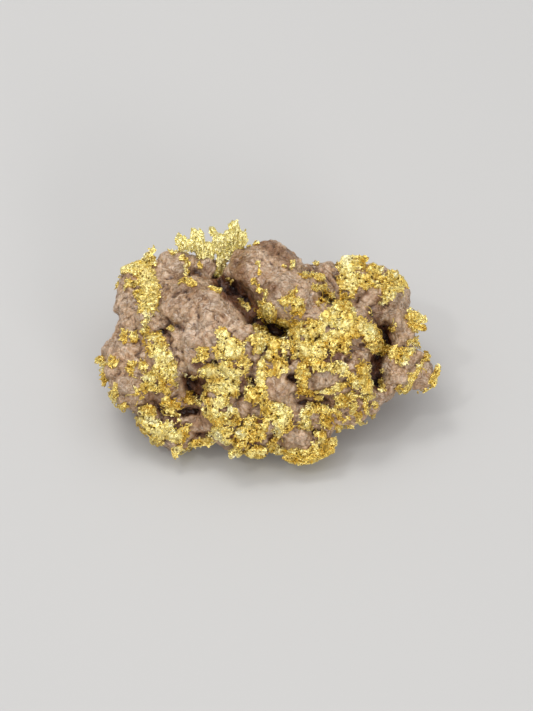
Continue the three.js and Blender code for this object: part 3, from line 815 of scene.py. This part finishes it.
def shell(points, triangles, level, thickness, under_face=0.05):
    """A closed sheet of crumpled gold over triangles, each parted in four on its outer side: its points and
    triangles, its outer normals and triangles, and its edge."""
    used, flat = np.unique(triangles, return_inverse=True)
    faces = flat.reshape(-1, 3)
    coarse = points[used]
    fine, outer_faces = subdivided(np.concatenate([coarse, level[used][:, None]], axis=1), faces)
    fine, fine_level = fine[:, :3], fine[:, 3]
    normals = corner_normals(fine, outer_faces)
    outer = fine + gold_height(fine, fine_level, thickness)[:, None] * normals
    inner = coarse - under_face * normals[:len(used)]
    pairs = sides_of(faces)
    _, first, times = np.unique(np.sort(pairs, axis=1), axis=0, return_index=True, return_counts=True)
    single = times == 1
    rim = pairs[first[single]]
    start, end = rim.T
    middle = len(used) + np.flatnonzero(single)
    under = len(fine)
    walls = np.concatenate([
        np.stack([middle, start, start + under], axis=1),
        np.stack([end, middle, end + under], axis=1),
        np.stack([middle, start + under, end + under], axis=1),
    ])
    all_faces = np.concatenate([outer_faces, faces[:, ::-1] + under, walls])
    return np.concatenate([outer, inner]), all_faces, normals, outer_faces, rim


def leaf_plates(centres, facing, along, sizes, rng, sides=5, thickness=0.035, length=1.25, width=0.75):
    """Small bent plates of gold, as one mesh for all of them. Length and width are shares of the size."""
    count = len(centres)
    facing = unit(facing)
    along = laid_flat(along, facing)
    across = np.cross(facing, along)
    angle = (np.arange(sides) + 0.6 * rng.random((count, sides))) * 2 * math.pi / sides
    reach = sizes[:, None] * (0.55 + 0.6 * rng.random((count, sides)))
    lift = reach * (0.5 * rng.random((count, sides)) - 0.1)
    x, y = length * reach * np.cos(angle), width * reach * np.sin(angle)
    middle = centres[:, None]
    rim = middle + x[..., None] * along[:, None] + y[..., None] * across[:, None]
    rim = rim + lift[..., None] * facing[:, None]
    back = thickness * facing[:, None]
    points = np.concatenate([middle, rim, middle - back, rim - back], axis=1)
    ring = np.arange(sides)
    after = (ring + 1) % sides
    low = sides + 1
    one = np.concatenate([
        np.stack([np.zeros(sides, int), 1 + ring, 1 + after], axis=1),
        np.stack([np.full(sides, low), low + 1 + after, low + 1 + ring], axis=1),
        np.stack([1 + ring, low + 1 + ring, low + 1 + after], axis=1),
        np.stack([1 + ring, low + 1 + after, 1 + after], axis=1),
    ])
    shift = (np.arange(count) * 2 * low)[:, None, None]
    return points.reshape(-1, 3), (one[None] + shift).reshape(-1, 3)


LEAVES_TO_AREA = 14  # leaves to a square millimetre
FRINGE_SHARE = 0.3  # how much of the edge bears leaves


def gold_over(rock, depth, thickness, seed, leafy=1.0):
    """Crumpled gold over the faces with a depth over nothing, with leaves out of it and along its edge."""
    rng = np.random.default_rng(seed)
    covered = depth > 0
    triangles = rock["triangles"][covered]
    corners = len(rock["points"])
    around = corner_sums(np.ones(len(triangles)), triangles, corners)
    level = corner_sums(depth[covered], triangles, corners) / np.maximum(around, 1)
    sheet, faces, normals, outer_faces, rim = shell(rock["points"], triangles, level, thickness)
    area = np.linalg.norm(outward(sheet, outer_faces), axis=1) / 2
    count = int(area.sum() * LEAVES_TO_AREA * leafy)
    roots = outer_faces[rng.choice(len(outer_faces), count, p=area / area.sum()), 0]
    facing = normals[roots] + 0.7 * random_ways(rng, count)
    sizes = mostly_small(rng, count, 0.045, 0.1)
    leaves = leaf_plates(sheet[roots] + 0.01 * normals[roots], facing, random_ways(rng, count), sizes, rng)
    start, end = rim[rng.random(len(rim)) < FRINGE_SHARE * leafy].T
    out = unit(np.cross(sheet[end] - sheet[start], normals[start]))
    facing = normals[start] + 0.6 * random_ways(rng, len(start))
    sizes = mostly_small(rng, len(start), 0.04, 0.08)
    fringe = leaf_plates(sheet[start] + 0.03 * out, facing, out + 0.5 * normals[start], sizes, rng)
    return merged([(sheet, faces), leaves, fringe])


ACROSS_WIRES = TOWARDS + 0.01  # a direction that no wire lies along


def wire_tube(line, radius, sides=4):
    """A thin closed tube of gold along a line of points."""
    count = len(line)
    angle = np.arange(sides) * 2 * math.pi / sides
    way = unit(np.gradient(line, axis=0))
    across = unit(np.cross(way, ACROSS_WIRES))
    over = np.cross(way, across)
    round_it = np.cos(angle)[:, None] * across[:, None] + np.sin(angle)[:, None] * over[:, None]
    rings = line[:, None] + radius[:, None, None] * round_it
    ring = np.arange(sides)
    after = (ring + 1) % sides
    start = np.arange(count - 1)[:, None] * sides
    low, high = start + ring, start + after
    first, last, last_ring = count * sides, count * sides + 1, (count - 1) * sides
    return np.concatenate([rings.reshape(-1, 3), line[:1], line[-1:]]), np.concatenate([
        np.stack([low, high, high + sides], axis=-1).reshape(-1, 3),
        np.stack([low, high + sides, low + sides], axis=-1).reshape(-1, 3),
        np.stack([np.full(sides, first), after, ring], axis=1),
        np.stack([np.full(sides, last), last_ring + ring, last_ring + after], axis=1),
    ])


def wires_over(rock, depth, seed, most=160, steps=6):
    """Thin curled wires of gold that lie over the edges of a crust and across its gaps."""
    rng = np.random.default_rng(seed)
    near = np.flatnonzero((depth > -0.05) & (depth < 0.3))
    count = min(most, len(near) // 20)
    picks = rng.choice(near, count, replace=False)
    places, normals = rock["centres"][picks], rock["facing"][picks]
    ways = np.cross(normals, random_ways(rng, count))
    stride = mostly_small(rng, count, 0.03, 0.06)
    lines = []
    for step in range(steps):
        arch = 0.08 + 0.16 * math.sin(math.pi * (step + 0.5) / steps)
        lines.append(places + arch * normals)
        ways = laid_flat(ways + 0.6 * random_ways(rng, count), normals)
        found = [rock["tree"].find_nearest(Vector(place)) for place in places + stride[:, None] * ways]
        places = np.array([hit[0] for hit in found])
        normals = np.array([hit[1] for hit in found])
    radii = (0.02 + 0.03 * rng.random((count, steps))) * np.linspace(1.1, 0.6, steps)
    return merged([wire_tube(line, radius) for line, radius in zip(np.stack(lines, axis=1), radii)])


# Sheets of gold that stand free of the rock

# Sprays that stand up behind the rock: how far towards the viewer, how much nearer with each millimetre up
# from LEAN_FROM, and the strokes of the lobes
LEAN_FROM = 4
SPRAYS = {
    "gold_small_spray": (-1.6, 0.6, [
        (3.5, 182, 240, 184, 245), (2, 179, 238), (2.5, 189, 243, 190, 247), (4.5, 195, 237, 196, 245),
        (2.5, 194, 232, 193, 236), (2.5, 200, 234, 201, 242), (4, 204, 249, 205, 257),
        (3, 209, 247, 210, 255), (3, 199, 248, 201, 255), (5, 206, 262, 206, 274),
    ]),
    "gold_tall_spray": (-1.4, 0.72, [
        (2, 211, 229, 215, 236), (4.5, 217, 239, 220, 248), (7, 226, 243, 226, 250), (4, 234, 226, 234, 236),
        (5.5, 237, 236, 237, 245), (2.5, 243, 235, 242, 242), (6, 225, 251, 223, 257),
        (2.5, 228, 233, 228, 238), (4.5, 221, 258, 221, 268), (5, 221, 268, 220, 280),
    ]),
}

# Leaves that stand free past the edge of the rock: the place where each grows out of it, and its strokes
FREE_LEAVES = {
    "gold_shoulder_crust": [
        ((141, 265), [(1.8, 139, 264, 146, 257, 153, 250), (1.4, 150, 255, 154, 258)]),
        ((115, 291), [(2.2, 109, 293, 116, 289)]),
        ((121, 266), [(2.5, 117, 264, 127, 262)]),
    ],
    "gold_left_patch": [
        ((104, 362), [(2, 99, 360, 104, 362)]),
        ((107, 379), [(1.6, 104, 374, 104, 384), (1.5, 108, 379)]),
    ],
    "gold_left_border": [
        ((174, 448), [(1.5, 174, 456, 179, 448)]),
        ((190, 446), [(1.5, 180, 451, 190, 449, 198, 451)]),
        ((203, 440), [(1.8, 194, 444, 204, 442, 212, 443)]),
        ((130, 419), [(2, 120, 412, 126, 421, 135, 425)]),
    ],
    "gold_centre_drape": [
        ((240, 445), [(2.5, 240, 446, 232, 456), (1.5, 238, 455)]),
        ((256, 446), [(2.5, 250, 451, 263, 451)]),
    ],
    "gold_right_crest": [
        ((397, 282), [(2.5, 400, 280, 405, 288)]),
        ((352, 265), [(2.2, 344, 260, 364, 259)]),
        ((376, 272), [(2, 372, 265, 380, 269)]),
    ],
    "gold_tip_rim": [
        ((410, 321), [
            (3, 413, 315, 419, 317), (2.5, 414, 325, 424, 328), (1.8, 410, 311, 413, 313),
            (2, 420, 321, 425, 320),
        ]),
        ((422, 344), [(3, 420, 338, 430, 345), (1.8, 416, 334, 420, 337), (1.5, 433, 349)]),
        ((431, 358), [(2.2, 433, 350, 438, 356, 438, 366)]),
        ((432, 380), [(1.6, 437, 370, 434, 384)]),
    ],
    "gold_foot_lace": [
        ((298, 453), [(2.5, 287, 458, 304, 461)]),
        ((318, 450), [(3, 314, 458, 330, 451), (2.5, 333, 442)]),
        ((277, 446), [(2.2, 270, 446, 279, 452)]),
    ],
}
SPRAY_SHEET = 1.6  # how strong the painted sheen on a spray is, where the sheets on the rock have 1
SPRAY_RELIEF = 0.46  # the lowest relief on it, which keeps the painted crease shade off it


def free_leaf(strokes, depth, lean, seed, margin=10):
    """A crumpled sheet of gold with the given lobes, the middles of its faces and the way that it looks."""
    spots = np.concatenate([np.reshape(stroke[1:], (-1, 2)) for stroke in strokes])
    low, high = spots.min(axis=0) - margin, spots.max(axis=0) + margin
    across, down = np.arange(low[0], high[0]), np.arange(low[1], high[1])
    ways = ways_through(np.stack(np.meshgrid(across, down), axis=-1).reshape(-1, 2))
    facing = TOWARDS - lean * UP
    share = (depth - lean * LEAN_FROM - (CAMERA - MID) @ facing) / (ways @ facing)
    points = CAMERA + share[:, None] * ways
    crumple = 0.3 * smooth_noise(points, 1.1, seed) + 0.16 * smooth_noise(points, 0.45, seed + 1)
    points = points + crumple[:, None] * facing
    columns = len(across)
    first = (np.arange(len(down) - 1)[:, None] * columns + np.arange(columns - 1)).ravel()
    triangles = np.concatenate([
        np.stack([first, first + columns, first + 1], axis=1),
        np.stack([first + 1, first + columns, first + columns + 1], axis=1),
    ])
    centres = points[triangles].mean(axis=1)
    inside = PIXEL * from_strokes(in_picture(centres), strokes)
    inside += 0.14 * layered_noise(centres, 0.5, seed + 2) + 0.04
    body = gold_over({"points": points, "triangles": triangles}, inside, 0.15, seed, 0.5)
    return body, centres[inside > 0], facing


def leaves_past_edge(rock, node, seed):
    """The free leaves of a crust, each at the depth of the rock at its root, where there is rock."""
    parts = []
    for number, (root, strokes) in enumerate(FREE_LEAVES.get(node, [])):
        way = unit(ways_through(np.array([root])))[0]
        hit = rock["tree"].ray_cast(Vector(CAMERA), Vector(way))[0]
        if hit is not None:
            depth = (np.array(hit) - MID) @ TOWARDS + 0.1
            rooted = [*strokes, (1.5, *root, *strokes[0][1:3])]
            parts.append(free_leaf(rooted, depth, 0.0, seed + 10 * number)[0])
    return parts


def gold_piece(node, points, triangles, bright=False, floor_gap=0.02):
    """A piece of gold, in place of the CAD node of its name where there is one."""
    points[:, 2] = np.maximum(points[:, 2], floor_gap)
    edges = edges_of(triangles)
    # Bright pieces get painted sheen all over and none of the painted shade in creases or hollows
    piece = make_piece(f"leaf_{node}", points, triangles, "gold", {
        "relief": np.maximum(relief_of(points, triangles, edges, 3), SPRAY_RELIEF * bright),
        "hollow_shade": np.maximum(relief_of(points, triangles, edges, 25), bright),
        "sheet": np.full(len(points), SPRAY_SHEET) if bright else sheet_share(points),
    })
    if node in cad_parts:
        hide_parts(node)


def spray(node, seed):
    """A spray: a ragged sheet of gold with feathery leaves all over both of its sides."""
    depth, lean, strokes = SPRAYS[node]
    body, centres, facing = free_leaf(strokes, depth, lean, seed)
    rng = np.random.default_rng(seed)
    parts = [body]
    for side, looks, count in ((1, TOWARDS, 420), (-1, -facing, 260)):
        picks = rng.choice(len(centres), count)
        out = side * (0.2 * rng.random(count) - 0.02)
        facings = looks + 0.5 * random_ways(rng, count)
        sizes = mostly_small(rng, count, 0.07, 0.1)
        up = UP + 0.35 * random_ways(rng, count)
        parts.append(leaf_plates(centres[picks] + out[:, None] * facing, facings, up, sizes, rng))
    gold_piece(node, *merged(parts), bright=True)


def gold_crusts(rock):
    centres = rock["centres"]
    ragged = 0.16 * layered_noise(centres, 0.6, 71) + 0.12 * smooth_noise(centres, 0.22, 72)
    pinholes = 0.9 * (0.3 + 0.3 * sheet_share(centres) - layered_noise(centres, 0.5, 75, 4))
    seen = in_view(centres, rock["facing"], rock["tree"], over=0.35)
    places = in_picture(centres[seen])
    bare = PIXEL * from_strokes(places, BARE)
    for number, (node, (thickness, strokes)) in enumerate(CRUSTS.items()):
        depth = np.full(len(centres), OUTSIDE)
        depth[seen] = np.minimum(PIXEL * from_strokes(places, strokes), -bare) + ragged[seen]
        depth = np.minimum(depth, pinholes)
        gold_piece(node, *merged([
            gold_over(rock, depth, thickness, 300 + number),
            wires_over(rock, depth, 350 + number),
            *leaves_past_edge(rock, node, 1000 + 100 * number),
        ]))
    for number, (node, (thickness, turn)) in enumerate(HIDDEN_CRUSTS.items()):
        depth = np.minimum(inside_crust(node, turn, rock) + 2 * ragged, pinholes)
        gold_piece(node, *gold_over(rock, depth, thickness, 400 + number))
    depth = np.full(len(centres), OUTSIDE)
    depth[seen] = PIXEL * from_strokes(places, SPECKS) + 0.8 * ragged[seen]
    gold_piece("gold_specks", *gold_over(rock, depth, 0.1, 500, 0.4))


gold_crusts(quartz_rock())
for number, node in enumerate(SPRAYS):
    spray(node, 601 + number)


# Floor, light and camera

FLOOR = 0.4  # half the floor's side, in metres
SENSOR = 36
# Soft lights: place and size in millimetres, and power in watts
LIGHTS = {
    "ceiling": ((-10, 25, 150), (240, 200), 0.135),
    "key": ((-40, 50, 140), (45, 35), 0.045),
    "front": ((60, -120, 60), (50, 40), 0.055),
    "spark": ((-70, -30, 140), (12, 12), 0.02),
}
LIT_POINT = Vector((0, 0, 3))  # what they shine at


def floor():
    mesh = bpy.data.meshes.new("floor")
    corners = [(-FLOOR, -FLOOR, 0), (FLOOR, -FLOOR, 0), (FLOOR, FLOOR, 0), (-FLOOR, FLOOR, 0)]
    mesh.from_pydata(corners, [], [(0, 1, 2, 3)])
    shader = Shader("pale_floor")
    mesh.materials.append(shader.finished(Base_Color=(*linear(196, 194, 191), 1), Roughness=0.7))
    floor = placed("floor", mesh)


def studio_light():
    world = bpy.data.worlds.new("studio")
    world.use_nodes = True
    background = world.node_tree.nodes["Background"]
    background.inputs["Color"].default_value = (*linear(226, 228, 232), 1)
    background.inputs["Strength"].default_value = 0.68
    bpy.context.scene.world = world
    for name, (place, (width, height), power) in LIGHTS.items():
        data = bpy.data.lights.new(name, "AREA")
        data.shape = "RECTANGLE"
        data.size = width * MM
        data.size_y = height * MM
        data.energy = power
        light = placed(name, data)
        light.location = Vector(place) * MM
        light.rotation_mode = "QUATERNION"
        light.rotation_quaternion = (Vector(place) - LIT_POINT).to_track_quat("Z", "Y")


def camera():
    data = bpy.data.cameras.new("camera")
    data.sensor_width = SENSOR
    data.lens = SENSOR * CAMERA_DISTANCE / (PICTURE_SIZE[1] * PIXEL)
    data.clip_start = 0.005
    data.clip_end = 5
    holder = placed("camera", data)
    holder.location = Vector(CAMERA) * MM
    holder.rotation_mode = "QUATERNION"
    holder.rotation_quaternion = Vector(-TOWARDS).to_track_quat("-Z", "Y")
    bpy.context.scene.camera = holder


floor()
studio_light()
camera()
bpy.context.scene.view_settings.view_transform = "Standard"
